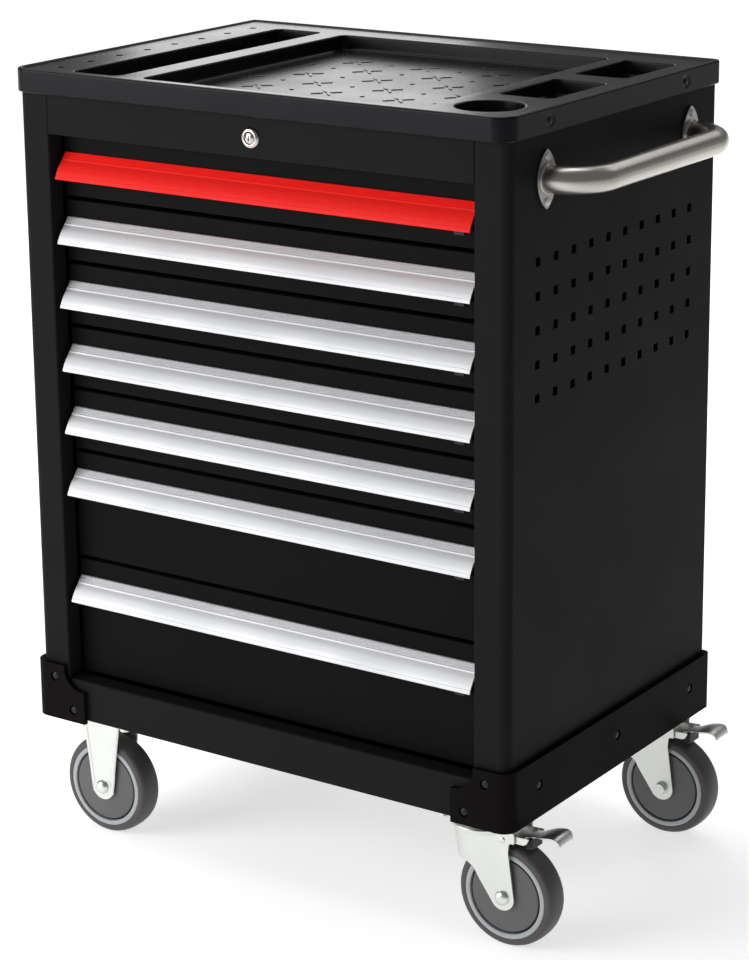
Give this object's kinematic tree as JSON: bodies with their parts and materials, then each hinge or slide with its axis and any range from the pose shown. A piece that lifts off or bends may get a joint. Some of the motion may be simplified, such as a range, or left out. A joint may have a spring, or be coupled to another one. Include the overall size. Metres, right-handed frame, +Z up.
{
  "type": "rolling tool chest",
  "caption": "Sheet-steel tool cabinet on casters, with drawers on telescopic slides, a moulded worktop tray, a perforated side, a push handle and a cylinder lock.",
  "frame": {"origin": "on the floor, under the middle of the whole object, push handle included", "axes": "+Z up; the drawers open towards -Y; the push handle is on +X"},
  "size_m": [0.75, 0.479, 0.9565],
  "materials": {
    "black_powder_coat": "satin powder coat",
    "black_plastic": "fine moulded texture",
    "bumper_plastic": "moulded",
    "silver_aluminium": "satin anodised",
    "red_anodised": "satin red coating",
    "stainless_tube": "brushed",
    "zinc_plate": "bright zinc plating",
    "chrome": "polished",
    "grey_tread": "matt thermoplastic rubber"
  },
  "bodies": {
    "cabinet": {"left_side_panel": "black_powder_coat", "right_side_panel": "black_powder_coat", "back_panel": "black_powder_coat", "base_pan": "black_powder_coat", "top_panel": "black_powder_coat", "lock_rail": "black_powder_coat", "kick_rail": "black_powder_coat", "worktop_tray": "black_plastic", "left_bumper": "bumper_plastic", "right_bumper": "bumper_plastic", "push_handle": "stainless_tube", "left_slide_rack": "black_powder_coat", "right_slide_rack": "black_powder_coat", "lock_body": "chrome", "front_left_bracket": "zinc_plate", "rear_left_bracket": "zinc_plate", "front_left_axle": "zinc_plate", "rear_left_axle": "zinc_plate", "front_right_swivel_plate": "zinc_plate", "rear_right_swivel_plate": "zinc_plate"},
    "drawer_1": {"drawer_1_box": "black_powder_coat", "drawer_1_pull": "red_anodised"},
    "drawer_1_slides": {"drawer_1_left_slide": "zinc_plate", "drawer_1_right_slide": "zinc_plate"},
    "drawer_2": {"drawer_2_box": "black_powder_coat", "drawer_2_pull": "silver_aluminium"},
    "drawer_2_slides": {"drawer_2_left_slide": "zinc_plate", "drawer_2_right_slide": "zinc_plate"},
    "drawer_3": {"drawer_3_box": "black_powder_coat", "drawer_3_pull": "silver_aluminium"},
    "drawer_3_slides": {"drawer_3_left_slide": "zinc_plate", "drawer_3_right_slide": "zinc_plate"},
    "drawer_4": {"drawer_4_box": "black_powder_coat", "drawer_4_pull": "silver_aluminium"},
    "drawer_4_slides": {"drawer_4_left_slide": "zinc_plate", "drawer_4_right_slide": "zinc_plate"},
    "drawer_5": {"drawer_5_box": "black_powder_coat", "drawer_5_pull": "silver_aluminium"},
    "drawer_5_slides": {"drawer_5_left_slide": "zinc_plate", "drawer_5_right_slide": "zinc_plate"},
    "drawer_6": {"drawer_6_box": "black_powder_coat", "drawer_6_pull": "silver_aluminium"},
    "drawer_6_slides": {"drawer_6_left_slide": "zinc_plate", "drawer_6_right_slide": "zinc_plate"},
    "drawer_7": {"drawer_7_box": "black_powder_coat", "drawer_7_pull": "silver_aluminium"},
    "drawer_7_slides": {"drawer_7_left_slide": "zinc_plate", "drawer_7_right_slide": "zinc_plate"},
    "front_right_fork": {"front_right_fork": "zinc_plate", "front_right_axle": "zinc_plate"},
    "front_right_wheel": {"front_right_wheel": "grey_tread"},
    "front_right_brake_pedal": {"front_right_brake_pedal": "zinc_plate"},
    "front_left_wheel": {"front_left_wheel": "grey_tread"},
    "rear_right_fork": {"rear_right_fork": "zinc_plate", "rear_right_axle": "zinc_plate"},
    "rear_right_wheel": {"rear_right_wheel": "grey_tread"},
    "rear_right_brake_pedal": {"rear_right_brake_pedal": "zinc_plate"},
    "rear_left_wheel": {"rear_left_wheel": "grey_tread"},
    "lock_cylinder": {"lock_cylinder": "chrome"},
    "lock_bar": {"lock_bar": "zinc_plate"}
  },
  "joints": [
    {"name": "drawer_1_slide", "type": "slide", "parent": "cabinet", "child": "drawer_1", "axis": [0, -1, 0], "range_m": [0, 0.37]},
    {"name": "drawer_1_slides_travel", "type": "slide", "parent": "cabinet", "child": "drawer_1_slides", "axis": [0, -1, 0], "range_m": [0, 0.185]},
    {"name": "drawer_2_slide", "type": "slide", "parent": "cabinet", "child": "drawer_2", "axis": [0, -1, 0], "range_m": [0, 0.37]},
    {"name": "drawer_2_slides_travel", "type": "slide", "parent": "cabinet", "child": "drawer_2_slides", "axis": [0, -1, 0], "range_m": [0, 0.185]},
    {"name": "drawer_3_slide", "type": "slide", "parent": "cabinet", "child": "drawer_3", "axis": [0, -1, 0], "range_m": [0, 0.37]},
    {"name": "drawer_3_slides_travel", "type": "slide", "parent": "cabinet", "child": "drawer_3_slides", "axis": [0, -1, 0], "range_m": [0, 0.185]},
    {"name": "drawer_4_slide", "type": "slide", "parent": "cabinet", "child": "drawer_4", "axis": [0, -1, 0], "range_m": [0, 0.37]},
    {"name": "drawer_4_slides_travel", "type": "slide", "parent": "cabinet", "child": "drawer_4_slides", "axis": [0, -1, 0], "range_m": [0, 0.185]},
    {"name": "drawer_5_slide", "type": "slide", "parent": "cabinet", "child": "drawer_5", "axis": [0, -1, 0], "range_m": [0, 0.37]},
    {"name": "drawer_5_slides_travel", "type": "slide", "parent": "cabinet", "child": "drawer_5_slides", "axis": [0, -1, 0], "range_m": [0, 0.185]},
    {"name": "drawer_6_slide", "type": "slide", "parent": "cabinet", "child": "drawer_6", "axis": [0, -1, 0], "range_m": [0, 0.37]},
    {"name": "drawer_6_slides_travel", "type": "slide", "parent": "cabinet", "child": "drawer_6_slides", "axis": [0, -1, 0], "range_m": [0, 0.185]},
    {"name": "drawer_7_slide", "type": "slide", "parent": "cabinet", "child": "drawer_7", "axis": [0, -1, 0], "range_m": [0, 0.37]},
    {"name": "drawer_7_slides_travel", "type": "slide", "parent": "cabinet", "child": "drawer_7_slides", "axis": [0, -1, 0], "range_m": [0, 0.185]},
    {"name": "front_right_swivel", "type": "hinge", "parent": "cabinet", "child": "front_right_fork", "pos_m": [0.2535, -0.194, 0.14], "axis": [0, 0, 1], "continuous": true},
    {"name": "front_right_wheel_spin", "type": "hinge", "parent": "front_right_fork", "child": "front_right_wheel", "pos_m": [0.2915, -0.194, 0.0625], "axis": [0, 1, 0], "continuous": true},
    {"name": "front_right_brake", "type": "hinge", "parent": "front_right_fork", "child": "front_right_brake_pedal", "pos_m": [0.2985, -0.194, 0.1335], "axis": [0, 1, 0], "range_deg": [0, 8]},
    {"name": "front_left_wheel_spin", "type": "hinge", "parent": "cabinet", "child": "front_left_wheel", "pos_m": [-0.2905, -0.194, 0.0625], "axis": [0, 1, 0], "continuous": true},
    {"name": "rear_right_swivel", "type": "hinge", "parent": "cabinet", "child": "rear_right_fork", "pos_m": [0.2535, 0.18, 0.14], "axis": [0, 0, 1], "continuous": true},
    {"name": "rear_right_wheel_spin", "type": "hinge", "parent": "rear_right_fork", "child": "rear_right_wheel", "pos_m": [0.2915, 0.18, 0.0625], "axis": [0, 1, 0], "continuous": true},
    {"name": "rear_right_brake", "type": "hinge", "parent": "rear_right_fork", "child": "rear_right_brake_pedal", "pos_m": [0.2985, 0.18, 0.1335], "axis": [0, 1, 0], "range_deg": [0, 8]},
    {"name": "rear_left_wheel_spin", "type": "hinge", "parent": "cabinet", "child": "rear_left_wheel", "pos_m": [-0.2905, 0.18, 0.0625], "axis": [0, 1, 0], "continuous": true},
    {"name": "lock_turn", "type": "hinge", "parent": "cabinet", "child": "lock_cylinder", "pos_m": [-0.0295, -0.2305, 0.9035], "axis": [0, -1, 0], "range_deg": [0, 90]},
    {"name": "lock_bar_lift", "type": "slide", "parent": "cabinet", "child": "lock_bar", "axis": [0, 0, 1], "range_m": [0, 0.01]}
  ],
  "couplings": [
    {"joint": "drawer_1_slides_travel", "follows": "drawer_1_slide", "ratio": 0.5},
    {"joint": "drawer_2_slides_travel", "follows": "drawer_2_slide", "ratio": 0.5},
    {"joint": "drawer_3_slides_travel", "follows": "drawer_3_slide", "ratio": 0.5},
    {"joint": "drawer_4_slides_travel", "follows": "drawer_4_slide", "ratio": 0.5},
    {"joint": "drawer_5_slides_travel", "follows": "drawer_5_slide", "ratio": 0.5},
    {"joint": "drawer_6_slides_travel", "follows": "drawer_6_slide", "ratio": 0.5},
    {"joint": "drawer_7_slides_travel", "follows": "drawer_7_slide", "ratio": 0.5},
    {"joint": "lock_turn", "follows": "lock_bar_lift", "rad_per_m": 157.08}
  ]
}
